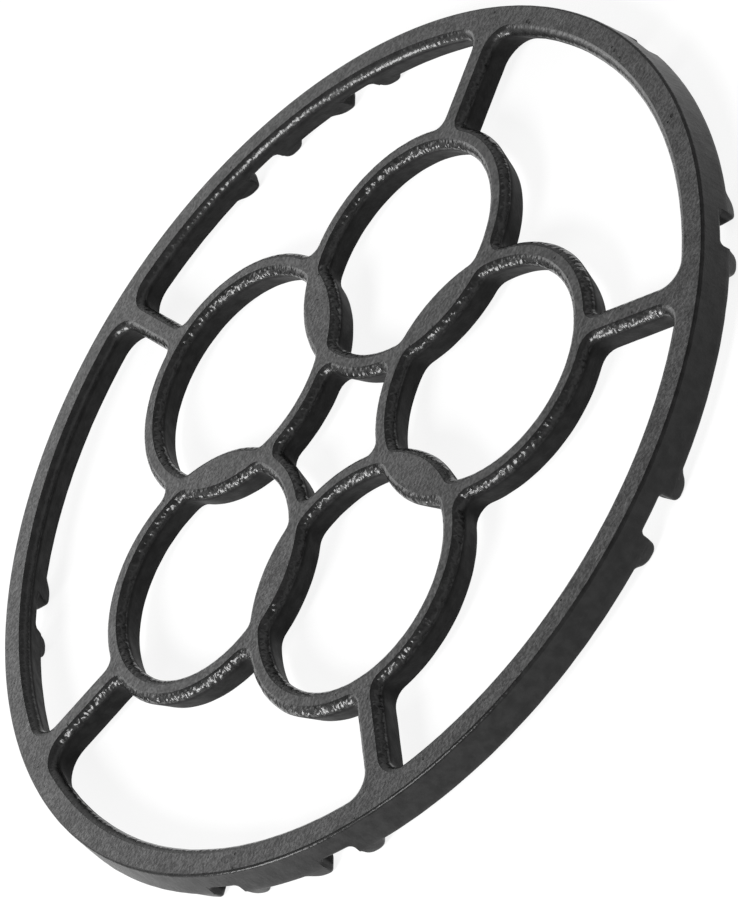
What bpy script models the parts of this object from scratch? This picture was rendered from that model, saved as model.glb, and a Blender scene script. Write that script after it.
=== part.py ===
"""Wok ring for a gas hob: one open casting, a round rim that holds a lattice of five overlapping rings.

The frame is +Z up with the origin at the bottom centre, on the plane of the nubs' tips, and one
spoke points along +Y. The casting is lofted level by level: every hole's outline is worked out from
circles, straight walls and the fillets between them, and each level sets the same walls back by its
own share of the rounded top edge, the taper of the walls and the eased foot. The nubs and the slots
between them are lofted along the rim and joined to it.
"""
import math
from dataclasses import dataclass

import bmesh
import bpy
from mathutils import Matrix, Vector

MM = 0.001

# Rim: its outer wall leans out to the foot, its inner wall tapers from below the rounded top edge
RIM_OUTER_DIA = 145.0 * MM
RIM_WIDTH = 5.5 * MM
RIM_OUTER_LEAN = 0.3 * MM
RIM_INNER_TAPER = 1.5 * MM

# Lattice: five rings that overlap by the width of an almond web, each tied to the rim by a spoke
RING_COUNT = 5
RING_OUTER_DIA = 42.6 * MM
RING_WALL = 3.9 * MM
WEB_WIDTH = 7.45 * MM
RING_INNER_TAPER = 1.1 * MM
RING_OUTER_TAPER = 1.0 * MM
SPOKE_WIDTH = 4.6 * MM
SPOKE_TAPER = 0.8 * MM
FIRST_SPOKE_ANGLE = math.radians(90.0)

# Fillets in the corners of the holes, at the widest section
RIM_FILLET = 3.0 * MM
SPOKE_RING_FILLET = 1.5 * MM
CROTCH_FILLET = 1.6 * MM
WEB_FILLET = 1.5 * MM
STAR_FILLET = 1.2 * MM
SPOKE_STRAIGHT_SHARE = 0.3

# Section: the casting's thickness, its rounded top edges and its eased foot
CASTING_THICKNESS = 5.2 * MM
TOP_EDGE_RADIUS = 1.25 * MM
RIM_EDGE_RADIUS = 0.8 * MM
FOOT_EDGE = 0.4 * MM

# Notches in the rim's underside: four for a hob with four fingers, five for one with five,
# which share the first notch
NOTCH_SETS = (4, 5)
FIRST_NOTCH_ANGLE = math.radians(135.0)
SLOT_WIDTH = 5.9 * MM
SLOT_DEPTH = 1.75 * MM
SLOT_CORNER_RADIUS = 0.7 * MM
SLOT_FLARE = 0.35 * MM

# Nubs: a pair of lobes at each notch, flush with the rim's walls and drafted inward below its foot,
# with a round lip at the slot, a rounder tip and a cove back to the foot
NUB_REACH = 1.85 * MM
NUB_WIDTH = 4.7 * MM
NUB_FLANK_SLOPE = 1.5 * MM
NUB_LIP_RADIUS = 0.9 * MM
NUB_TIP_RADIUS = 2.4 * MM
NUB_COVE_RADIUS = 1.6 * MM
NUB_DRAFT = 0.4 * MM
NUB_ROOT = 0.8 * MM
NUB_SKIN = 0.06 * MM
NUB_SINK = 0.03 * MM

# How finely the curves are faceted
RIM_SEGMENTS = 96
RING_STEP = math.radians(10.0)
FILLET_STEPS = 4
TOP_EDGE_STEPS = 3
NOTCH_EDGE_STEPS = 3
SMOOTH_BELOW = math.radians(40.0)
SAME_ANGLE = math.radians(1.0)

RIM_RADIUS = RIM_OUTER_DIA / 2
RIM_INNER_RADIUS = RIM_RADIUS - RIM_WIDTH
RING_RADIUS = RING_OUTER_DIA / 2
RING_PITCH_RADIUS = (RING_RADIUS - WEB_WIDTH / 2) / math.sin(math.pi / RING_COUNT)
UNDERSIDE = NUB_REACH
TOP = UNDERSIDE + CASTING_THICKNESS
RIM_STEP = 2 * math.pi / RIM_SEGMENTS


def polar(radius, angle):
    return Vector((radius * math.cos(angle), radius * math.sin(angle)))


def angle_of(vector):
    return math.atan2(vector.y, vector.x)


@dataclass
class Level:
    """One height of the casting, and how far its walls stand back there from their widest."""

    height: float
    rounding: float
    taper: float

    def set_back(self, full_taper):
        return self.rounding + self.taper * full_taper

    def lean_back(self, full_lean):
        return self.rounding + (1 - self.taper) * full_lean


@dataclass
class RoundWall:
    """A circular wall, seen from above. It is hollow where the hole lies inside the circle."""

    centre: Vector
    radius: float
    hollow: bool
    step: float

    def fillet_path_radius(self, fillet):
        return self.radius - fillet if self.hollow else self.radius + fillet

    def touch(self, fillet_centre, fillet):
        return self.centre + (fillet_centre - self.centre).normalized() * self.radius


@dataclass
class StraightWall:
    """A straight wall through a point, with the hole on the left of its direction."""

    point: Vector
    along: Vector

    def left(self):
        return Vector((-self.along.y, self.along.x))

    def touch(self, fillet_centre, fillet):
        return fillet_centre - self.left() * fillet


def fillet_centre(first, second, fillet, hint):
    """The centre of the fillet between two walls, taking of the two possible ones that near the hint."""
    if isinstance(first, StraightWall):
        first, second = second, first
    reach = first.fillet_path_radius(fillet)
    if isinstance(second, StraightWall):
        start = second.point + second.left() * fillet
        foot = start + second.along * (first.centre - start).dot(second.along)
        half_chord = math.sqrt(reach**2 - (foot - first.centre).length_squared)
        side = second.along * half_chord
    else:
        other_reach = second.fillet_path_radius(fillet)
        between = second.centre - first.centre
        span = between.length
        towards = (span**2 + reach**2 - other_reach**2) / (2 * span)
        foot = first.centre + between / span * towards
        half_chord = math.sqrt(reach**2 - towards**2)
        side = Vector((-between.y, between.x)) / span * half_chord
    return min((foot + side, foot - side), key=lambda point: (point - hint).length)


def arc_points(centre, start, end, clockwise, steps):
    """Points along an arc from start up to, and without, its end."""
    radius = (start - centre).length
    first = angle_of(start - centre)
    sweep = (angle_of(end - centre) - first) % (2 * math.pi)
    if clockwise:
        sweep -= 2 * math.pi
    return [centre + polar(radius, first + sweep * i / steps) for i in range(steps)]


def arc_step_count(wall, start, end):
    sweep = (angle_of(end - wall.centre) - angle_of(start - wall.centre)) % (2 * math.pi)
    if not wall.hollow:
        sweep = 2 * math.pi - sweep
    return max(2, math.ceil(sweep / wall.step))


def hole_outline(walls, fillets, hints, steps):
    """A hole's outline, anticlockwise: its walls in turn, each joined to the next by a fillet.

    fillets and hints belong to the corner after each wall. steps holds each wall's number of
    segments, and is filled in at the first level so that every level has the same points.
    """
    corners = []
    for i, wall in enumerate(walls):
        following = walls[(i + 1) % len(walls)]
        centre = fillet_centre(wall, following, fillets[i], hints[i])
        corners.append((centre, wall.touch(centre, fillets[i]), following.touch(centre, fillets[i])))
    points = []
    for i, wall in enumerate(walls):
        start = corners[i - 1][2]
        centre, end, leave = corners[i]
        if isinstance(wall, StraightWall):
            points.append(start)
        else:
            if i not in steps:
                steps[i] = arc_step_count(wall, start, end)
            points += arc_points(wall.centre, start, end, not wall.hollow, steps[i])
        points += arc_points(centre, end, leave, False, FILLET_STEPS)
    return points


def spoke_angle(index):
    return FIRST_SPOKE_ANGLE + index * 2 * math.pi / RING_COUNT


def ring_outside(index, level):
    radius = RING_RADIUS - level.set_back(RING_OUTER_TAPER)
    return RoundWall(polar(RING_PITCH_RADIUS, spoke_angle(index)), radius, False, RING_STEP)


def ring_inside(index, level):
    radius = RING_RADIUS - RING_WALL + level.set_back(RING_INNER_TAPER)
    return RoundWall(polar(RING_PITCH_RADIUS, spoke_angle(index)), radius, True, RING_STEP)


def rim_inside(level):
    radius = RIM_INNER_RADIUS + level.set_back(RIM_INNER_TAPER)
    return RoundWall(Vector((0, 0)), radius, True, RIM_STEP)


def spoke_side(index, outward, level):
    """The side of a spoke that a gap's outline follows, outward to the rim or back to the ring."""
    half_width = SPOKE_WIDTH / 2 - level.set_back(SPOKE_TAPER)
    side = math.pi / 2 if outward else -math.pi / 2
    point = polar(half_width, spoke_angle(index) + side)
    along = polar(1.0 if outward else -1.0, spoke_angle(index))
    return StraightWall(point, along)


def spoke_fillets():
    """The fillets at a spoke's two ends, held to what its length leaves for them beside a straight run."""
    length = RIM_INNER_RADIUS - RING_PITCH_RADIUS - RING_RADIUS
    room = (1 - SPOKE_STRAIGHT_SHARE) * length / (RIM_FILLET + SPOKE_RING_FILLET)
    return RIM_FILLET * min(1.0, room), SPOKE_RING_FILLET * min(1.0, room)


def ring_hole(index, level, steps):
    """The opening of one ring, with the almond webs of its two neighbours bulging into it."""
    back_neighbour = ring_outside(index - 1, level)
    next_neighbour = ring_outside(index + 1, level)
    own = ring_inside(index, level)
    half_pitch = math.pi / RING_COUNT
    out_next = polar(RIM_RADIUS, spoke_angle(index) + half_pitch)
    out_back = polar(RIM_RADIUS, spoke_angle(index) - half_pitch)
    middle = Vector((0, 0))
    walls = [own, next_neighbour, own, back_neighbour]
    hints = [out_next, middle, middle, out_back]
    fillet = WEB_FILLET + level.set_back(RING_INNER_TAPER)
    return hole_outline(walls, [fillet] * 4, hints, steps)


def rim_gap(index, level, steps):
    """The opening between two spokes, the rim and the backs of two rings."""
    walls = [
        spoke_side(index, True, level),
        rim_inside(level),
        spoke_side(index + 1, False, level),
        ring_outside(index + 1, level),
        ring_outside(index, level),
    ]
    rim_fillet, ring_fillet = spoke_fillets()
    rim_fillet += level.set_back(RIM_INNER_TAPER)
    ring_fillet += level.set_back(RING_OUTER_TAPER)
    crotch_fillet = CROTCH_FILLET + level.set_back(RING_OUTER_TAPER)
    at_spoke = polar(RIM_RADIUS, spoke_angle(index))
    at_next_spoke = polar(RIM_RADIUS, spoke_angle(index + 1))
    between = polar(RIM_RADIUS, spoke_angle(index + 0.5))
    fillets = [rim_fillet, rim_fillet, ring_fillet, crotch_fillet, ring_fillet]
    hints = [at_spoke, at_next_spoke, at_next_spoke, between, at_spoke]
    return hole_outline(walls, fillets, hints, steps)


def star_hole(level, steps):
    """The opening in the middle, a star between the backs of all the rings."""
    walls = [ring_outside(-i, level) for i in range(RING_COUNT)]
    walls.reverse()
    fillet = STAR_FILLET + level.set_back(RING_OUTER_TAPER)
    middle = Vector((0, 0))
    return hole_outline(walls, [fillet] * RING_COUNT, [middle] * RING_COUNT, steps)


def rim_outline(level, steps):
    """The rim's outer wall, whose number of segments is fixed."""
    radius = RIM_RADIUS - level.lean_back(RIM_OUTER_LEAN)
    return [polar(radius, i * RIM_STEP) for i in range(RIM_SEGMENTS)]


def casting_levels(edge_radius):
    """From the flat top down: the rounded edge, the tapering wall and the eased foot."""
    levels = []
    for i in range(TOP_EDGE_STEPS + 1):
        turn = math.pi / 2 * i / TOP_EDGE_STEPS
        drop = edge_radius * (1 - math.cos(turn))
        levels.append(Level(TOP - drop, edge_radius * (1 - math.sin(turn)), 0.0))
    levels.append(Level(UNDERSIDE + FOOT_EDGE, 0.0, 1.0))
    levels.append(Level(UNDERSIDE, FOOT_EDGE, 1.0))
    return levels


def casting_walls():
    """For each wall of the casting, the heights and points of its levels."""
    makers = [(rim_outline, RIM_EDGE_RADIUS), (star_hole, TOP_EDGE_RADIUS)]
    for index in range(RING_COUNT):
        makers.append((lambda level, steps, index=index: ring_hole(index, level, steps), TOP_EDGE_RADIUS))
        makers.append((lambda level, steps, index=index: rim_gap(index, level, steps), TOP_EDGE_RADIUS))
    walls = []
    for make, edge_radius in makers:
        levels = casting_levels(edge_radius)
        steps = {}
        make(levels[TOP_EDGE_STEPS], steps)
        walls.append([(level.height, make(level, steps)) for level in levels])
    return walls


def loft_casting():
    """Lofts every wall through the levels and closes the top and the underside."""
    bm = bmesh.new()
    top_edges = []
    foot_edges = []
    for wall in casting_walls():
        rows = []
        for height, points in wall:
            rows.append([bm.verts.new((point.x, point.y, height)) for point in points])
        count = len(rows[0])
        for upper, lower in zip(rows, rows[1:]):
            for i in range(count):
                j = (i + 1) % count
                bm.faces.new((upper[i], upper[j], lower[j], lower[i]))
        top_edges += [bm.edges.get((rows[0][i - 1], rows[0][i])) for i in range(count)]
        foot_edges += [bm.edges.get((rows[-1][i - 1], rows[-1][i])) for i in range(count)]
    bmesh.ops.triangle_fill(bm, use_beauty=True, use_dissolve=False, edges=top_edges)
    bmesh.ops.triangle_fill(bm, use_beauty=True, use_dissolve=False, edges=foot_edges)
    bmesh.ops.recalc_face_normals(bm, faces=bm.faces)
    return bm


def object_from(bm, name, collection):
    mesh = bpy.data.meshes.new(name)
    bm.to_mesh(mesh)
    bm.free()
    obj = bpy.data.objects.new(name, mesh)
    collection.objects.link(obj)
    return obj


def notch_angles():
    """Both sets of notches, with the shared one counted once."""
    angles = []
    for count in NOTCH_SETS:
        for i in range(count):
            angle = FIRST_NOTCH_ANGLE + i * 2 * math.pi / count
            if all(math.cos(angle - other) < math.cos(SAME_ANGLE) for other in angles):
                angles.append(angle)
    return angles


def rounded_line(corners):
    """Points along a line with rounded corners, each corner given as its place and its radius.

    A radius is held to what half of the shorter stretch beside its corner leaves for it.
    """
    points = []
    for (before, _), (corner, radius), (after, _) in zip(corners, corners[1:], corners[2:]):
        back = before - corner
        ahead = after - corner
        half_turn = (math.pi - back.angle(ahead)) / 2
        reach = min(radius * math.tan(half_turn), back.length / 2, ahead.length / 2)
        start = corner + back.normalized() * reach
        end = corner + ahead.normalized() * reach
        inward = (back.normalized() + ahead.normalized()).normalized()
        centre = corner + inward * reach / math.sin(half_turn)
        clockwise = back.cross(ahead) > 0
        points += arc_points(centre, start, end, clockwise, NOTCH_EDGE_STEPS)
        points.append(end)
    return points


def notch_profile():
    """The rim's foot across a notch: places along the rim and heights, from one cove to the other."""
    slot_floor = UNDERSIDE + SLOT_DEPTH
    flank_end = SLOT_WIDTH / 2 + NUB_WIDTH
    foot = UNDERSIDE + NUB_SINK
    half = rounded_line(
        [
            (Vector((0, slot_floor)), 0),
            (Vector((SLOT_WIDTH / 2, slot_floor)), SLOT_CORNER_RADIUS),
            (Vector((SLOT_WIDTH / 2 + SLOT_FLARE, 0)), NUB_LIP_RADIUS),
            (Vector((flank_end - NUB_FLANK_SLOPE, 0)), NUB_TIP_RADIUS),
            (Vector((flank_end, foot)), NUB_COVE_RADIUS),
            (Vector((flank_end + 2 * NUB_COVE_RADIUS, foot)), 0),
        ]
    )
    return [Vector((-point.x, point.y)) for point in reversed(half)] + half


def rim_wall_radii(height):
    """The rim's inner and outer radius at a height of its walls, or of the nubs' walls below them."""
    foot = UNDERSIDE + FOOT_EDGE
    inner_share = (TOP - TOP_EDGE_RADIUS - height) / (TOP - TOP_EDGE_RADIUS - foot)
    inner = RIM_INNER_RADIUS + inner_share * RIM_INNER_TAPER
    if height < foot:
        return inner, RIM_RADIUS - (foot - height) / foot * NUB_DRAFT
    outer_share = (TOP - RIM_EDGE_RADIUS - height) / (TOP - RIM_EDGE_RADIUS - foot)
    return inner, RIM_RADIUS - (1 - outer_share) * RIM_OUTER_LEAN


def nub_section(height):
    """A cut across the nubs where their underside is at a height: radii and heights, root to root.

    It stands inside the rim's walls by a skin, so that the rim's facets cover it.
    """
    root = UNDERSIDE + SLOT_DEPTH + NUB_ROOT
    eased = height + FOOT_EDGE
    widest = (root + eased) / 2
    inner_root, outer_root = rim_wall_radii(root)
    inner, outer = rim_wall_radii(eased)
    return [
        (inner_root + NUB_SKIN, root),
        (inner + NUB_SKIN, eased),
        (inner + NUB_SKIN + FOOT_EDGE, height),
        (outer - NUB_SKIN - FOOT_EDGE, height),
        (outer - NUB_SKIN, eased),
        (rim_wall_radii(widest)[1] - NUB_SKIN, widest),
        (outer_root - NUB_SKIN, root),
    ]


def add_nubs(bm, notch_angle):
    """The pair of nubs at a notch with the slot between them, lofted along the rim and bent with it."""
    outward = polar(1.0, notch_angle)
    along = polar(1.0, notch_angle + math.pi / 2)
    rows = []
    for place, height in notch_profile():
        row = []
        for radius, level in nub_section(height):
            point = outward * math.sqrt(radius**2 - place**2) + along * place
            row.append(bm.verts.new((point.x, point.y, level)))
        rows.append(row)
    for near, far in zip(rows, rows[1:]):
        for i in range(len(near)):
            bm.faces.new((near[i - 1], near[i], far[i], far[i - 1]))
    bm.faces.new(rows[0])
    bm.faces.new(rows[-1])


def add_slot(bm, notch_angle):
    """A bar that clears the rim for a slot and for the nubs' root round it."""
    width = SLOT_WIDTH + 2 * SLOT_FLARE
    height = UNDERSIDE + SLOT_DEPTH + NUB_ROOT / 2
    placing = Matrix.Rotation(notch_angle, 4, "Z")
    placing @= Matrix.Translation((RIM_RADIUS - RIM_WIDTH / 2, 0, 0))
    placing @= Matrix.Diagonal((2 * RIM_WIDTH, width, 2 * height, 1))
    bmesh.ops.create_cube(bm, size=1.0, matrix=placing)


def notch_pieces(add, name, collection):
    """One object with a piece at every notch."""
    bm = bmesh.new()
    for angle in notch_angles():
        add(bm, angle)
    bmesh.ops.recalc_face_normals(bm, faces=bm.faces)
    return object_from(bm, name, collection)


def add_boolean(obj, other, name, operation):
    """Joins or cuts with a tool object, which stays out of the render."""
    modifier = obj.modifiers.new(name, "BOOLEAN")
    modifier.object = other
    modifier.operation = operation
    modifier.solver = "EXACT"
    other.hide_render = True
    other.display_type = "WIRE"


def black_enamel():
    """Semi-gloss black enamel over sand-cast iron."""
    material = bpy.data.materials.new("black_enamel")
    material.use_nodes = True
    shader = material.node_tree.nodes["Principled BSDF"]
    shader.inputs["Base Color"].default_value = (0.02, 0.02, 0.02, 1.0)
    shader.inputs["Roughness"].default_value = 0.4
    shader.inputs["Metallic"].default_value = 0.0
    return material


def clear_scene():
    for obj in list(bpy.data.objects):
        bpy.data.objects.remove(obj, do_unlink=True)


def new_collection(name):
    collection = bpy.data.collections.new(name)
    bpy.context.scene.collection.children.link(collection)
    return collection


def build_wok_ring():
    clear_scene()
    parts = new_collection("wok_ring")
    cutters = new_collection("cutters")
    casting = object_from(loft_casting(), "wok_ring", parts)
    casting.data.materials.append(black_enamel())
    add_boolean(casting, notch_pieces(add_slot, "slot_bars", cutters), "slots", "DIFFERENCE")
    add_boolean(casting, notch_pieces(add_nubs, "nub_pairs", cutters), "nubs", "UNION")
    casting.data.shade_smooth()
    casting.data.set_sharp_from_angle(angle=SMOOTH_BELOW)


build_wok_ring()
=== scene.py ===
import math
from dataclasses import dataclass
from functools import partial

import bmesh
import bpy
from mathutils import Matrix, Quaternion, Vector, noise


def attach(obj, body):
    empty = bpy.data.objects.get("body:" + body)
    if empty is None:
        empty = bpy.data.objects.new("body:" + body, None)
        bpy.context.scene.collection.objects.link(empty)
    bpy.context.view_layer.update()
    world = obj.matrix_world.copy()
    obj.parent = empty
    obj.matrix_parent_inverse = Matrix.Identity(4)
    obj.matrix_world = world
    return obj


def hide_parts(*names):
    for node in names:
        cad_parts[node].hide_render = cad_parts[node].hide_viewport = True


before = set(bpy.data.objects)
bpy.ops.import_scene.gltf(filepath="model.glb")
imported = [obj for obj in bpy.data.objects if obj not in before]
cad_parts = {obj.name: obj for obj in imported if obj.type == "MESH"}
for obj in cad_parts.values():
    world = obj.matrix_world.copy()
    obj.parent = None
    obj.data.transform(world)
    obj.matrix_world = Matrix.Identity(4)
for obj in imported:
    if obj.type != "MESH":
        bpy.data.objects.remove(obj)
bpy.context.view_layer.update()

# The casting: rim, five small rings, the almond webs between them and the spokes, poured as one
# piece of iron in a sand mould, with walls that taper so that the pattern draws out and tops that
# lie in one plane. Its plan is circles and straight walls with a fillet in every corner.
MM = 0.001
RIM_OUTER_DIA = 145.0 * MM
RIM_WIDTH = 5.5 * MM
RIM_OUTER_LEAN = 0.72 * MM
RIM_INNER_TAPER = 1.5 * MM
RING_COUNT = 5
RING_OUTER_DIA = 42.6 * MM
RING_WALL = 3.9 * MM
WEB_WIDTH = 7.45 * MM
RING_INNER_TAPER = 1.1 * MM
RING_OUTER_TAPER = 1.0 * MM
SPOKE_WIDTH = 4.6 * MM
SPOKE_TAPER = 0.8 * MM
FIRST_SPOKE_ANGLE = math.radians(90.0)
RIM_FILLET = 3.0 * MM
SPOKE_RING_FILLET = 1.5 * MM
CROTCH_FILLET = 1.6 * MM
WEB_FILLET = 1.5 * MM
STAR_FILLET = 1.2 * MM
CASTING_THICKNESS = 5.2 * MM
TOP_EDGE_RADIUS = 1.25 * MM
RIM_EDGE_RADIUS = 0.48 * MM
EDGE_START = math.radians(12.0)
FOOT_EDGE = 0.4 * MM
NUB_REACH = 1.85 * MM
POINT_SPACING = 0.5 * MM
FEWEST_ARC_POINTS = 4
TOP_EDGE_STEPS = 8
WALL_STEPS = 7
FOOT_STEPS = 2

RIM_RADIUS = RIM_OUTER_DIA / 2
RIM_INNER_RADIUS = RIM_RADIUS - RIM_WIDTH
RING_RADIUS = RING_OUTER_DIA / 2
RING_PITCH_RADIUS = (RING_RADIUS - WEB_WIDTH / 2) / math.sin(math.pi / RING_COUNT)
UNDERSIDE = NUB_REACH
TOP = UNDERSIDE + CASTING_THICKNESS


def polar(radius, angle):
    return Vector((radius * math.cos(angle), radius * math.sin(angle)))


def angle_of(vector):
    return math.atan2(vector.y, vector.x)


@dataclass
class Level:
    """A level of the section: the same plan, set back by the edge's rounding and by the taper."""

    height: float
    rounding: float
    taper: float

    def set_back(self, full_taper):
        return self.rounding + self.taper * full_taper

    def lean_back(self, full_lean):
        return self.rounding + (1 - self.taper) * full_lean


@dataclass
class RoundWall:
    centre: Vector
    radius: float
    hollow: bool

    def fillet_path_radius(self, fillet):
        return self.radius - fillet if self.hollow else self.radius + fillet

    def touch(self, fillet_centre, fillet):
        return self.centre + (fillet_centre - self.centre).normalized() * self.radius


@dataclass
class StraightWall:
    point: Vector
    along: Vector

    def left(self):
        return Vector((-self.along.y, self.along.x))

    def touch(self, fillet_centre, fillet):
        return fillet_centre - self.left() * fillet


def fillet_centre(first, second, fillet, hint):
    """The centre of the fillet between two walls, of the two possible ones that near the hint."""
    if isinstance(first, StraightWall):
        first, second = second, first
    reach = first.fillet_path_radius(fillet)
    if isinstance(second, StraightWall):
        start = second.point + second.left() * fillet
        foot = start + second.along * (first.centre - start).dot(second.along)
        side = second.along * math.sqrt(reach**2 - (foot - first.centre).length_squared)
    else:
        between = second.centre - first.centre
        span = between.length
        towards = (span**2 + reach**2 - second.fillet_path_radius(fillet) ** 2) / (2 * span)
        foot = first.centre + between / span * towards
        side = Vector((-between.y, between.x)) / span * math.sqrt(reach**2 - towards**2)
    return min((foot + side, foot - side), key=lambda point: (point - hint).length)


def arc(centre, start, end, clockwise, counts, key):
    """Points along an arc up to, and without, its end, as many at each level as at the first."""
    radius = (start - centre).length
    first = angle_of(start - centre)
    sweep = (angle_of(end - centre) - first) % (2 * math.pi)
    if clockwise:
        sweep -= 2 * math.pi
    if key not in counts:
        counts[key] = max(FEWEST_ARC_POINTS, math.ceil(abs(sweep) * radius / POINT_SPACING))
    return [centre + polar(radius, first + sweep * i / counts[key]) for i in range(counts[key])]


def straight(start, end, counts, key):
    if key not in counts:
        counts[key] = max(1, math.ceil((end - start).length / POINT_SPACING))
    return [start.lerp(end, i / counts[key]) for i in range(counts[key])]


def outline(walls, fillets, hints, counts):
    """A hole's outline, anticlockwise: its walls in turn, each joined to the next by a fillet."""
    corners = []
    for i, wall in enumerate(walls):
        following = walls[(i + 1) % len(walls)]
        centre = fillet_centre(wall, following, fillets[i], hints[i])
        corners.append((centre, wall.touch(centre, fillets[i]), following.touch(centre, fillets[i])))
    points = []
    for i, wall in enumerate(walls):
        start = corners[i - 1][2]
        centre, end, leave = corners[i]
        if isinstance(wall, StraightWall):
            points += straight(start, end, counts, ("wall", i))
        else:
            points += arc(wall.centre, start, end, not wall.hollow, counts, ("wall", i))
        points += arc(centre, end, leave, False, counts, ("fillet", i))
    return points


def spoke_angle(index):
    return FIRST_SPOKE_ANGLE + index * 2 * math.pi / RING_COUNT


def ring_outside(index, level):
    radius = RING_RADIUS - level.set_back(RING_OUTER_TAPER)
    return RoundWall(polar(RING_PITCH_RADIUS, spoke_angle(index)), radius, False)


def spoke_side(index, outward, level):
    half_width = SPOKE_WIDTH / 2 - level.set_back(SPOKE_TAPER)
    side = math.pi / 2 if outward else -math.pi / 2
    point = polar(half_width, spoke_angle(index) + side)
    return StraightWall(point, polar(1.0 if outward else -1.0, spoke_angle(index)))


def ring_hole(index, level, counts):
    own_radius = RING_RADIUS - RING_WALL + level.set_back(RING_INNER_TAPER)
    own = RoundWall(polar(RING_PITCH_RADIUS, spoke_angle(index)), own_radius, True)
    middle = Vector((0, 0))
    walls = [own, ring_outside(index + 1, level), own, ring_outside(index - 1, level)]
    hints = [polar(RIM_RADIUS, spoke_angle(index + 0.5)), middle, middle]
    hints.append(polar(RIM_RADIUS, spoke_angle(index - 0.5)))
    fillet = WEB_FILLET + level.set_back(RING_INNER_TAPER)
    return outline(walls, [fillet] * len(walls), hints, counts)


def rim_gap(index, level, counts):
    rim_inside = RoundWall(Vector((0, 0)), RIM_INNER_RADIUS + level.set_back(RIM_INNER_TAPER), True)
    walls = [
        spoke_side(index, True, level),
        rim_inside,
        spoke_side(index + 1, False, level),
        ring_outside(index + 1, level),
        ring_outside(index, level),
    ]
    at_rim = RIM_FILLET + level.set_back(RIM_INNER_TAPER)
    at_ring = SPOKE_RING_FILLET + level.set_back(RING_OUTER_TAPER)
    crotch = CROTCH_FILLET + level.set_back(RING_OUTER_TAPER)
    spoke, middle, next_spoke = (polar(RIM_RADIUS, spoke_angle(index + i)) for i in (0, 0.5, 1))
    hints = [spoke, next_spoke, next_spoke, middle, spoke]
    return outline(walls, [at_rim, at_rim, at_ring, crotch, at_ring], hints, counts)


def star_hole(level, counts):
    walls = [ring_outside(index, level) for index in range(1, RING_COUNT + 1)]
    fillet = STAR_FILLET + level.set_back(RING_OUTER_TAPER)
    return outline(walls, [fillet] * len(walls), [Vector((0, 0))] * len(walls), counts)


def rim_outside(level, counts):
    radius = RIM_RADIUS - level.lean_back(RIM_OUTER_LEAN)
    segments = math.ceil(2 * math.pi * RIM_RADIUS / POINT_SPACING)
    return [polar(radius, i * 2 * math.pi / segments) for i in range(segments)]


def section_levels(edge_radius):
    """The section from the flat top down: the rounded shoulder, the wall and the eased foot."""
    reach = edge_radius / (1 - math.sin(EDGE_START))
    levels = []
    for i in range(TOP_EDGE_STEPS + 1):
        turn = EDGE_START + (math.pi / 2 - EDGE_START) * i / TOP_EDGE_STEPS
        drop = reach * (math.cos(EDGE_START) - math.cos(turn))
        levels.append(Level(TOP - drop, reach * (1 - math.sin(turn)), 0.0))
    widest = levels[-1].height
    for i in range(1, WALL_STEPS + 1):
        share = i / WALL_STEPS
        levels.append(Level(widest + (UNDERSIDE + FOOT_EDGE - widest) * share, 0.0, share))
    for i in range(1, FOOT_STEPS + 1):
        turn = math.pi / 2 * i / FOOT_STEPS
        height = UNDERSIDE + FOOT_EDGE * (1 - math.sin(turn))
        levels.append(Level(height, FOOT_EDGE * (1 - math.cos(turn)), 1.0))
    return levels


def loop_edges(bm, loop):
    return [bm.edges.get((loop[i - 1], vert)) for i, vert in enumerate(loop)]


def loft(bm, loops):
    """Walls through closed loops of points in turn. Gives the edges of the first and last loop."""
    verts = [bm.verts.new(point) for point in loops[0]]
    for i, vert in enumerate(verts):
        bm.edges.new((verts[i - 1], vert))
    first_edges = loop_edges(bm, verts)
    for loop in loops[1:]:
        made = bmesh.ops.extrude_edge_only(bm, edges=loop_edges(bm, verts))
        new = {item for item in made["geom"] if isinstance(item, bmesh.types.BMVert)}
        lower = []
        for vert in verts:
            lower.append(next(e.other_vert(vert) for e in vert.link_edges if e.other_vert(vert) in new))
        for vert, point in zip(lower, loop):
            vert.co = point
        verts = lower
    return first_edges, loop_edges(bm, verts)


shapes = [(rim_outside, RIM_EDGE_RADIUS), (star_hole, TOP_EDGE_RADIUS)]
for index in range(RING_COUNT):
    shapes.append((partial(ring_hole, index), TOP_EDGE_RADIUS))
    shapes.append((partial(rim_gap, index), TOP_EDGE_RADIUS))

casting_bm = bmesh.new()
top_edges, foot_edges = [], []
for shape, edge_radius in shapes:
    levels = section_levels(edge_radius)
    counts = {}
    shape(levels[TOP_EDGE_STEPS], counts)
    loops = [[(*point, level.height) for point in shape(level, counts)] for level in levels]
    top, foot = loft(casting_bm, loops)
    top_edges += top
    foot_edges += foot
for edges in (top_edges, foot_edges):
    bmesh.ops.triangle_fill(casting_bm, use_beauty=True, use_dissolve=False, edges=edges)
bmesh.ops.recalc_face_normals(casting_bm, faces=casting_bm.faces)


def object_from(bm, name):
    mesh = bpy.data.meshes.new(name)
    bm.to_mesh(mesh)
    bm.free()
    obj = bpy.data.objects.new(name, mesh)
    bpy.context.scene.collection.objects.link(obj)
    return obj


casting = object_from(casting_bm, "wok_ring_casting")

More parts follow.
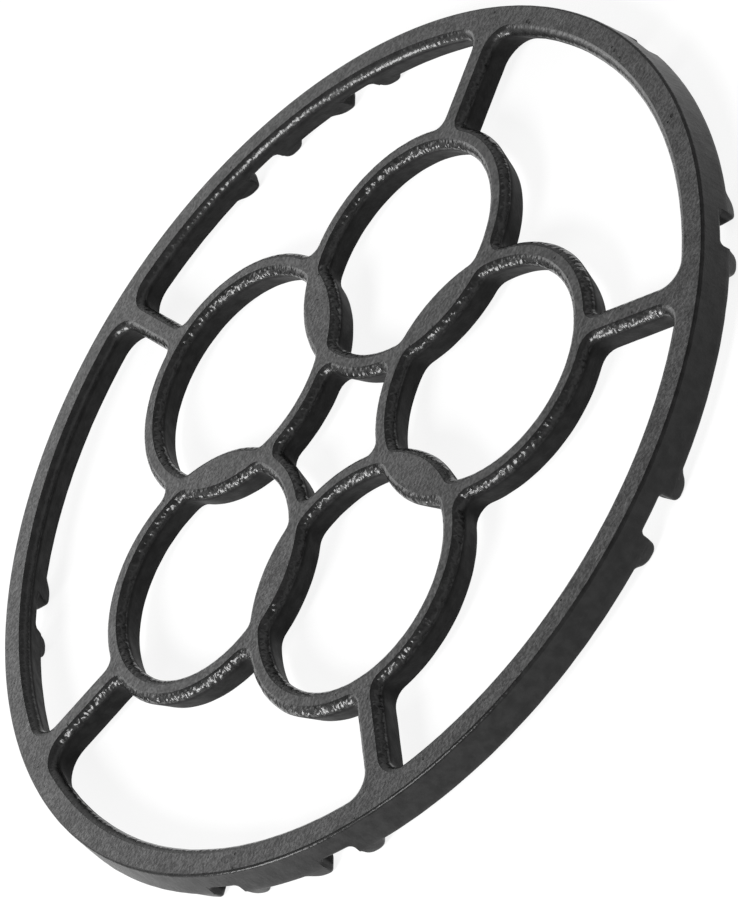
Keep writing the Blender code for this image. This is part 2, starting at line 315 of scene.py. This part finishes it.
# The nubs: four pairs at right angles for a hob with four fingers and five pairs for one with five,
# one pair in both. Each pair keeps the ring from sliding on its finger. They are cast on the rim as
# lobes that run out of its walls, with a round lip at the slot and a cove back to the rim's foot.
NOTCH_SETS = (4, 5)
FIRST_NOTCH_ANGLE = math.radians(135.0)
SAME_ANGLE = math.radians(1.0)
SLOT_WIDTH = 5.9 * MM
SLOT_DEPTH = 1.75 * MM
SLOT_CORNER_RADIUS = 0.7 * MM
SLOT_FLARE = 0.35 * MM
NUB_WIDTH = 4.7 * MM
NUB_FLANK_SLOPE = 1.5 * MM
NUB_LIP_RADIUS = 1.3 * MM
NUB_TIP_RADIUS = 2.4 * MM
NUB_COVE_RADIUS = 1.6 * MM
NUB_DRAFT = 0.4 * MM
NUB_EDGE_RADIUS = 0.5 * MM
NUB_EDGE_STEPS = 4
NUB_ROOT = 1.0 * MM
NUB_SKIN = 0.015 * MM
NUB_SINK = 0.02 * MM
NOTCH_EDGE_STEPS = 8
NUB_WALL_STEPS = 8
NUB_ROOT_HEIGHT = UNDERSIDE + SLOT_DEPTH + NUB_ROOT

notch_angles = []
for count in NOTCH_SETS:
    for i in range(count):
        angle = FIRST_NOTCH_ANGLE + i * 2 * math.pi / count
        if all(math.cos(angle - other) < math.cos(SAME_ANGLE) for other in notch_angles):
            notch_angles.append(angle)


def rounded_line(corners):
    """Points along a line whose corners are rounded, each given as its place and its radius."""
    points = []
    for (before, _), (corner, radius), (after, _) in zip(corners, corners[1:], corners[2:]):
        back, ahead = before - corner, after - corner
        half_turn = (math.pi - back.angle(ahead)) / 2
        reach = min(radius * math.tan(half_turn), back.length / 2, ahead.length / 2)
        start = corner + back.normalized() * reach
        end = corner + ahead.normalized() * reach
        centre = corner + (back.normalized() + ahead.normalized()).normalized() * reach / math.sin(half_turn)
        points += arc(centre, start, end, back.cross(ahead) > 0, {"corner": NOTCH_EDGE_STEPS}, "corner")
        points.append(end)
    return points


def spaced(points):
    """The same line with points added along its long stretches."""
    line = [points[0]]
    for start, end in zip(points, points[1:]):
        count = math.ceil((end - start).length / POINT_SPACING)
        line += [start.lerp(end, i / count) for i in range(1, count + 1)]
    return line


def notch_profile():
    """The rim's foot across a notch: places along the rim and heights, from one cove to the other."""
    slot_floor = UNDERSIDE + SLOT_DEPTH
    flank_end = SLOT_WIDTH / 2 + NUB_WIDTH
    foot = UNDERSIDE + NUB_SINK
    corners = [
        (Vector((0, slot_floor)), 0),
        (Vector((SLOT_WIDTH / 2, slot_floor)), SLOT_CORNER_RADIUS),
        (Vector((SLOT_WIDTH / 2 + SLOT_FLARE, 0)), NUB_LIP_RADIUS),
        (Vector((flank_end - NUB_FLANK_SLOPE, 0)), NUB_TIP_RADIUS),
        (Vector((flank_end, foot)), NUB_COVE_RADIUS),
        (Vector((flank_end + 2 * NUB_COVE_RADIUS, foot)), 0),
    ]
    half = rounded_line(corners)
    return spaced([Vector((-point.x, point.y)) for point in reversed(half)] + half)


def rim_wall_radii(height):
    """The rim's inner and outer radius at a height of its walls, or of the nubs' walls below them."""
    foot = UNDERSIDE + FOOT_EDGE
    inner_top, outer_top = (
        section_levels(radius)[TOP_EDGE_STEPS].height for radius in (TOP_EDGE_RADIUS, RIM_EDGE_RADIUS)
    )
    inner = RIM_INNER_RADIUS + (inner_top - height) / (inner_top - foot) * RIM_INNER_TAPER
    if height < foot:
        return inner, RIM_RADIUS - (foot - height) / foot * NUB_DRAFT
    return inner, RIM_RADIUS - (height - foot) / (outer_top - foot) * RIM_OUTER_LEAN


def nub_section(place, height, inward):
    """A cut across the nubs at one place of the profile: places, radii and heights, root to root.

    Towards both walls the profile shrinks into the metal, which rounds every edge of the lobes.
    """
    half = []
    for i in range(NUB_EDGE_STEPS + 1):
        turn = math.pi / 2 * i / NUB_EDGE_STEPS
        back = NUB_EDGE_RADIUS * (1 - math.sin(turn))
        shift = inward * NUB_EDGE_RADIUS * (1 - math.cos(turn))
        half.append((place + shift.x, back, height + shift.y))
    eased_place, _, eased = half[-1]
    for i in range(1, NUB_WALL_STEPS + 1):
        half.append((eased_place, 0.0, eased + (NUB_ROOT_HEIGHT - eased) * i / NUB_WALL_STEPS))
    inner_side = [(along, rim_wall_radii(z)[0] + NUB_SKIN + back, z) for along, back, z in half]
    outer_side = [(along, rim_wall_radii(z)[1] - NUB_SKIN - back, z) for along, back, z in half]
    return inner_side[::-1] + outer_side


nubs_bm = bmesh.new()
slots_bm = bmesh.new()
for notch_angle in notch_angles:
    outward = polar(1.0, notch_angle)
    tangent = polar(1.0, notch_angle + math.pi / 2)
    rows = []
    profile = notch_profile()
    for i, (place, height) in enumerate(profile):
        along_profile = (profile[min(i + 1, len(profile) - 1)] - profile[max(i - 1, 0)]).normalized()
        inward = Vector((-along_profile.y, along_profile.x))
        row = []
        for along, radius, level in nub_section(place, height, inward):
            point = outward * math.sqrt(radius**2 - along**2) + tangent * along
            row.append(nubs_bm.verts.new((*point, level)))
        rows.append(row)
    for near, far in zip(rows, rows[1:]):
        for i in range(len(near)):
            nubs_bm.faces.new((near[i - 1], near[i], far[i], far[i - 1]))
    nubs_bm.faces.new(rows[0])
    nubs_bm.faces.new(rows[-1])
    slot_height = NUB_ROOT_HEIGHT - NUB_ROOT / 2
    placing = Matrix.Rotation(notch_angle, 4, "Z")
    placing @= Matrix.Translation((RIM_RADIUS - RIM_WIDTH / 2, 0, 0))
    placing @= Matrix.Diagonal((2 * RIM_WIDTH, SLOT_WIDTH + 2 * SLOT_FLARE, 2 * slot_height, 1))
    bmesh.ops.create_cube(slots_bm, size=1.0, matrix=placing)
for bm in (nubs_bm, slots_bm):
    bmesh.ops.recalc_face_normals(bm, faces=bm.faces)
slots = object_from(slots_bm, "slot_bars")
nubs = object_from(nubs_bm, "nub_pairs")

for tool, operation in ((slots, "DIFFERENCE"), (nubs, "UNION")):
    modifier = casting.modifiers.new(tool.name, "BOOLEAN")
    modifier.object = tool
    modifier.operation = operation
    modifier.solver = "EXACT"
depsgraph = bpy.context.evaluated_depsgraph_get()
joined = bpy.data.meshes.new_from_object(casting.evaluated_get(depsgraph), depsgraph=depsgraph)
casting.modifiers.clear()
casting.data = joined
for tool in (nubs, slots):
    bpy.data.objects.remove(tool, do_unlink=True)

# The skin: the walls and their rounded edges keep the unevenness of the sand mould, which only takes
# metal away, and the tops stay even. Corners sharper than an edge's curve are drawn as corners.
LUMP_SIZE = 2.2 * MM
LUMP_DEPTH = 0.07 * MM
LUMP_START = 0.5 * MM
WELD_DISTANCE = 0.002 * MM
LEVEL_FACING = 0.9999
LEVEL_FADE = 4
SHARP_ABOVE = math.radians(35.0)

skin = bmesh.new()
skin.from_mesh(casting.data)
bmesh.ops.remove_doubles(skin, verts=skin.verts, dist=WELD_DISTANCE)
skin.normal_update()
for vert in skin.verts:
    below_top = min(max((TOP - vert.co.z) / LUMP_START, 0.0), 1.0)
    off_level = 1.0 - abs(vert.normal.z) ** LEVEL_FADE
    hollow = 0.5 - 0.5 * noise.noise(vert.co / LUMP_SIZE)
    vert.co -= vert.normal * (LUMP_DEPTH * hollow * below_top * off_level)
skin.to_mesh(casting.data)
skin.free()
casting.data.set_sharp_from_angle(angle=SHARP_ABOVE)
for face in casting.data.polygons:
    face.use_smooth = abs(face.normal.z) < LEVEL_FACING

# The enamel: thin and black over the casting's skin. The tops are painted greyer than the walls, partly
# for the rub of pans and partly as painted light for the light that level faces catch from above; they
# show a fine grain, short scratches and a few pits. The shoulders are glossy over a coarse grain and
# the walls are dull.
WALL_BLACK = 0.012
# The tops' grey is partly wear and partly painted light standing in for the light that level faces catch.
TOP_GREY_WEAR_AND_PAINTED_LIGHT = 0.0295
WALL_ROUGHNESS = 0.55
SHOULDER_ROUGHNESS = 0.20
TOP_ROUGHNESS = 0.30
SPECULAR_LEVEL = 0.06
COAT_ROUGHNESS = 0.26
COAT_IOR = 1.5
TOP_COAT = 0.2
SHOULDER_COAT_START = 0.22
SHOULDER_COAT = 0.62
OUTSIDE_SHOULDER_SHARE = 0.3
OUTSIDE_WALL_COAT = 0.36
# How far a surface faces upwards, 1 for level and 0 for a wall, where each finish starts and is full.
TOP_FACING = (0.985, 0.995)
GLOSS_FACING = (0.975, 0.90)
SAND_FACING = (0.97, 0.87)
SAND_END_FACING = (-0.1, 0.3)
WALL_FACING = (0.35, 0.10)
# Distances from the ring's axis between which the rim's outer wall, and the rim itself, take over.
OUTSIDE = (71.0 * MM, 71.6 * MM)
NEAR_RIM = (63.0 * MM, 66.0 * MM)
# Noises as the size of their grain and its detail, and then how far they vary and over what spread.
PATCHES = (2.0 * MM, 3.0, 0.18, 0.2)
SPECKLE = (0.48 * MM, 1.5, 0.38, 0.15)
MOTTLE = (1.6 * MM, 3.0, 0.3, 0.2)
UNEVENNESS = (2.5 * MM, 2.0, 0.1, 0.2)
SCRATCH_GRAIN = (0.3 * MM, 0.0)
FINE_GRAIN = (0.48 * MM, 1.0)
SAND_GRAIN = (1.0 * MM, 1.0)
FINE_DEPTH = 0.034 * MM
SAND_DEPTH = 0.43 * MM
SAND_UPRIGHT_SCALE = 0.3
RIM_SAND_SHARE = 0.35
OUTSIDE_SAND_SHARE = 0.4
SCRATCH_LENGTH_SCALE = 0.12
SCRATCH_PEAK = (0.80, 0.86)
SCRATCH_TURNS = (0.5, -0.9)
PIT_DEPTH = 0.15 * MM
SPARSE_PIT_SPACING = 3.0 * MM
SPARSE_PIT_EDGE = (0.07, 0.03)
# Pits seen on the tops, each as its place in plan and its radius. Their edges, from level metal to the
# full depth, are in shares of the radius, and those of the sparse pits in shares of the spacing.
PIT_EDGE = (1.3, 0.7)
PIT_SPOTS = (
    (67.3 * MM, 21.1 * MM, 0.20 * MM),
    (67.8 * MM, 12.2 * MM, 0.28 * MM),
    (67.7 * MM, 11.5 * MM, 0.20 * MM),
    (68.3 * MM, -11.5 * MM, 0.24 * MM),
    (67.6 * MM, -13.5 * MM, 0.20 * MM),
    (68.6 * MM, -10.5 * MM, 0.18 * MM),
    (62.4 * MM, -32.1 * MM, 0.34 * MM),
    (61.3 * MM, -32.1 * MM, 0.18 * MM),
    (36.8 * MM, -26.0 * MM, 0.22 * MM),
)

enamel = bpy.data.materials.new("black_enamel")
enamel.use_nodes = True
nodes, links = enamel.node_tree.nodes, enamel.node_tree.links
shader = nodes["Principled BSDF"]
shader.inputs["Specular IOR Level"].default_value = SPECULAR_LEVEL
shader.inputs["Coat Roughness"].default_value = COAT_ROUGHNESS
shader.inputs["Coat IOR"].default_value = COAT_IOR


def add_node(kind, inputs, **settings):
    """A node in the tree at hand, with each input set to its value or linked to its socket."""
    node = nodes.new(kind)
    for name, setting in settings.items():
        setattr(node, name, setting)
    for socket, value in inputs.items():
        if isinstance(value, bpy.types.NodeSocket):
            links.new(value, node.inputs[socket])
        else:
            node.inputs[socket].default_value = value
    return node


def map_range(value, low, high, to_low=0.0, to_high=1.0):
    ends = {"From Min": low, "From Max": high, "To Min": to_low, "To Max": to_high}
    node = add_node("ShaderNodeMapRange", {"Value": value, **ends}, interpolation_type="SMOOTHSTEP")
    return node.outputs["Result"]


def math_node(operation, first, second):
    return add_node("ShaderNodeMath", {0: first, 1: second}, operation=operation).outputs[0]


def product(first, *others):
    for factor in others:
        first = math_node("MULTIPLY", first, factor)
    return first


def vector_math(operation, first, second):
    return add_node("ShaderNodeVectorMath", {0: first, 1: second}, operation=operation)


def grain(size, detail, vector=None):
    inputs = {"Scale": 1.0 / size, "Detail": detail, "Vector": vector or position}
    return add_node("ShaderNodeTexNoise", inputs).outputs["Fac"]


def varied(size, detail, amount, spread):
    """A factor about 1 that wanders by the amount either way, over patches of one size."""
    return map_range(grain(size, detail), 0.5 - spread, 0.5 + spread, 1.0 - amount, 1.0 + amount)


def scratches(turn):
    """Short marks along one direction, where a noise drawn out along it peaks."""
    placing = {"Vector": position, "Rotation": (0.0, 0.0, turn), "Scale": (SCRATCH_LENGTH_SCALE, 1.0, 1.0)}
    drawn = add_node("ShaderNodeMapping", placing).outputs["Vector"]
    return map_range(grain(*SCRATCH_GRAIN, drawn), *SCRATCH_PEAK)


def bump(height, depth, normal=None):
    inputs = {"Distance": depth, "Height": height}
    if normal:
        inputs["Normal"] = normal
    return add_node("ShaderNodeBump", inputs).outputs["Normal"]


position = add_node("ShaderNodeTexCoord", {}).outputs["Object"]
normal = add_node("ShaderNodeNewGeometry", {}).outputs["Normal"]
upward = add_node("ShaderNodeSeparateXYZ", {0: normal}).outputs["Z"]
on_top = map_range(upward, *TOP_FACING)
on_wall = map_range(upward, *WALL_FACING)
on_shoulder = product(math_node("SUBTRACT", 1.0, on_top), math_node("SUBTRACT", 1.0, on_wall))
in_plan = vector_math("MULTIPLY", position, (1.0, 1.0, 0.0)).outputs["Vector"]
axis_distance = add_node("ShaderNodeVectorMath", {0: in_plan}, operation="LENGTH").outputs["Value"]
on_outside = map_range(axis_distance, *OUTSIDE)

cells = add_node("ShaderNodeTexVoronoi", {"Scale": 1.0 / SPARSE_PIT_SPACING, "Vector": position})
pits = map_range(cells.outputs["Distance"], *SPARSE_PIT_EDGE)
for x, y, radius in PIT_SPOTS:
    away = vector_math("DISTANCE", position, (x, y, TOP)).outputs["Value"]
    pits = math_node("MAXIMUM", pits, map_range(away, *(share * radius for share in PIT_EDGE)))
clear = math_node("SUBTRACT", 1.0, product(pits, on_top))

marks = math_node("MAXIMUM", *(scratches(turn) for turn in SCRATCH_TURNS))
rub = math_node("ADD", product(varied(*PATCHES), varied(*SPECKLE)), marks)
# Wear and painted light together: the tops' greyer tone fades in with how far a face looks upwards. It
# stands partly for the rub of pans and partly for the light that level faces catch.
wear_and_painted_light = product(rub, clear, on_top)
grey = math_node(
    "ADD",
    product(wear_and_painted_light, TOP_GREY_WEAR_AND_PAINTED_LIGHT - WALL_BLACK),
    product(varied(*MOTTLE), WALL_BLACK),
)
colour = add_node("ShaderNodeCombineColor", {"Red": grey, "Green": grey, "Blue": grey})
links.new(colour.outputs["Color"], shader.inputs["Base Color"])

dullness = math_node(
    "ADD",
    product(on_wall, WALL_ROUGHNESS - SHOULDER_ROUGHNESS),
    product(on_top, TOP_ROUGHNESS - SHOULDER_ROUGHNESS),
)
dullness = math_node("ADD", dullness, SHOULDER_ROUGHNESS)
links.new(product(dullness, varied(*UNEVENNESS)), shader.inputs["Roughness"])

shoulder_gloss = product(
    on_shoulder,
    map_range(upward, *GLOSS_FACING, SHOULDER_COAT_START, SHOULDER_COAT),
    map_range(on_outside, 0.0, 1.0, 1.0, OUTSIDE_SHOULDER_SHARE),
)
gloss = math_node("ADD", shoulder_gloss, product(wear_and_painted_light, TOP_COAT))
gloss = math_node("ADD", gloss, product(on_outside, on_wall, OUTSIDE_WALL_COAT))
links.new(gloss, shader.inputs["Coat Weight"])

sandy = product(map_range(upward, *SAND_FACING), map_range(upward, *SAND_END_FACING))
sandy = product(
    sandy,
    map_range(axis_distance, *NEAR_RIM, 1.0, RIM_SAND_SHARE),
    map_range(on_outside, 0.0, 1.0, 1.0, OUTSIDE_SAND_SHARE),
)
hanging = add_node("ShaderNodeMapping", {"Vector": position, "Scale": (1.0, 1.0, SAND_UPRIGHT_SCALE)})
sand = math_node("SUBTRACT", grain(*SAND_GRAIN, hanging.outputs["Vector"]), 0.5)
fine = bump(grain(*FINE_GRAIN), FINE_DEPTH)
pitted = bump(clear, PIT_DEPTH, fine)
coarse = bump(product(sand, sandy), SAND_DEPTH, pitted)
links.new(coarse, shader.inputs["Normal"])
links.new(coarse, shader.inputs["Coat Normal"])

casting.data.materials.clear()
casting.data.materials.append(enamel)
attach(casting, "root")
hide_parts("wok_ring")

# The floor: a plain sheet of white paper. The camera and the enamel's gloss see it mostly as its own
# light, which keeps it white, and the rest takes the ring's soft shadow.
FLOOR_SIZE = 6.0
FLOOR_GLOW = 0.86
FLOOR_SHADE = 0.18
PAPER_WHITE = 0.8

floor_bm = bmesh.new()
bmesh.ops.create_grid(floor_bm, x_segments=1, y_segments=1, size=FLOOR_SIZE / 2)
floor = object_from(floor_bm, "floor")
paper = bpy.data.materials.new("white_paper")
paper.use_nodes = True
nodes, links = paper.node_tree.nodes, paper.node_tree.links
nodes.remove(nodes["Principled BSDF"])
plain = add_node("ShaderNodeBsdfDiffuse", {"Color": (PAPER_WHITE, PAPER_WHITE, PAPER_WHITE, 1.0)})
shaded = add_node("ShaderNodeBsdfDiffuse", {"Color": (FLOOR_SHADE, FLOOR_SHADE, FLOOR_SHADE, 1.0)})
glow = add_node("ShaderNodeEmission", {"Color": (1.0, 1.0, 1.0, 1.0), "Strength": FLOOR_GLOW})
glowing = add_node("ShaderNodeAddShader", {0: shaded.outputs[0], 1: glow.outputs[0]})
path = add_node("ShaderNodeLightPath", {}).outputs
seen = math_node("MAXIMUM", path["Is Camera Ray"], path["Is Glossy Ray"])
seen = math_node("MAXIMUM", seen, path["Is Transmission Ray"])
mix = add_node("ShaderNodeMixShader", {0: seen, 1: plain.outputs[0], 2: glowing.outputs[0]})
links.new(mix.outputs[0], nodes["Material Output"].inputs["Surface"])
floor.data.materials.append(paper)

# The room: a pale wall that is brightest behind the ring and a little to its left, and darkens to
# both sides, towards the ceiling and near the floor. Of two round soft boxes on the left, one stands
# a little in front and higher than the camera, and the other low, for the walls that face it.
WALL_LIGHT = 5.25
CEILING_LIGHT = 0.25
CEILING_FADE = (math.radians(27.5), math.radians(45.5))
LOW_FADE = (math.radians(8.0), math.radians(28.5))
DIM_LOW = 0.2
DIM_SIDE = 0.12
BRIGHT_SIDE = math.radians(102.0)
SIDE_REACH = math.radians(37.0)
BOX_DISTANCE = 1.5
BOX_SIZE = 0.6
BOXES = (
    ("front_box", math.radians(-152.0), math.radians(40.0), 22.0),
    ("left_box", math.radians(176.0), math.radians(11.0), 20.0),
)

world = bpy.data.worlds.new("room")
bpy.context.scene.world = world
world.use_nodes = True
nodes, links = world.node_tree.nodes, world.node_tree.links
background = nodes["Background"]
background.inputs["Color"].default_value = (1.0, 1.0, 1.0, 1.0)
direction = add_node("ShaderNodeTexCoord", {}).outputs["Generated"]
upward = add_node("ShaderNodeSeparateXYZ", {0: direction}).outputs["Z"]
below_ceiling = map_range(upward, *(math.sin(angle) for angle in CEILING_FADE), WALL_LIGHT, 0.0)
above_floor = map_range(upward, *(math.sin(angle) for angle in LOW_FADE), DIM_LOW, 1.0)
level_part = vector_math("MULTIPLY", direction, (1.0, 1.0, 0.0)).outputs["Vector"]
heading = add_node("ShaderNodeVectorMath", {0: level_part}, operation="NORMALIZE").outputs["Vector"]
likeness = vector_math("DOT_PRODUCT", heading, (*polar(1.0, BRIGHT_SIDE), 0.0)).outputs["Value"]
turned = add_node("ShaderNodeMath", {0: likeness}, operation="ARCCOSINE").outputs[0]
on_side = map_range(turned, 0.0, SIDE_REACH, 1.0, DIM_SIDE)
room_light = math_node("ADD", product(below_ceiling, above_floor, on_side), CEILING_LIGHT)
seen = add_node("ShaderNodeLightPath", {}).outputs["Is Camera Ray"]
strength = add_node("ShaderNodeMix", {"Factor": seen, "A": room_light, "B": 1.0}).outputs["Result"]
links.new(strength, background.inputs["Strength"])

for name, azimuth, elevation, power in BOXES:
    box_data = bpy.data.lights.new(name, "AREA")
    box_data.shape = "DISK"
    box_data.size = BOX_SIZE
    box_data.energy = power
    box = bpy.data.objects.new(name, box_data)
    reach, height = polar(BOX_DISTANCE, elevation)
    box.location = (*polar(reach, azimuth), height)
    box.rotation_euler = (-box.location).to_track_quat("-Z", "Y").to_euler()
    bpy.context.scene.collection.objects.link(box)

# The camera: a long lens from the front and above, rolled about its own axis so that the ring stands
# up in the picture, and near enough for the ring to fill it.
LENS = 167.97
CAMERA_PLACE = Vector((-14.53, -513.75, 356.42)) * MM
CAMERA_TARGET = Vector((-0.29, -11.54, 7.05)) * MM
CAMERA_ROLL = math.radians(-57.463)
SENSOR_WIDTH = 36.0
CLIP_START = 0.01

camera_data = bpy.data.cameras.new("camera")
camera_data.lens = LENS
camera_data.sensor_width = SENSOR_WIDTH
camera_data.clip_start = CLIP_START
camera = bpy.data.objects.new("camera", camera_data)
camera.location = CAMERA_PLACE
camera.rotation_mode = "QUATERNION"
aim = (CAMERA_TARGET - CAMERA_PLACE).to_track_quat("-Z", "Y")
camera.rotation_quaternion = aim @ Quaternion((0, 0, 1), CAMERA_ROLL)
bpy.context.scene.collection.objects.link(camera)
bpy.context.scene.camera = camera
bpy.context.scene.view_settings.view_transform = "Standard"
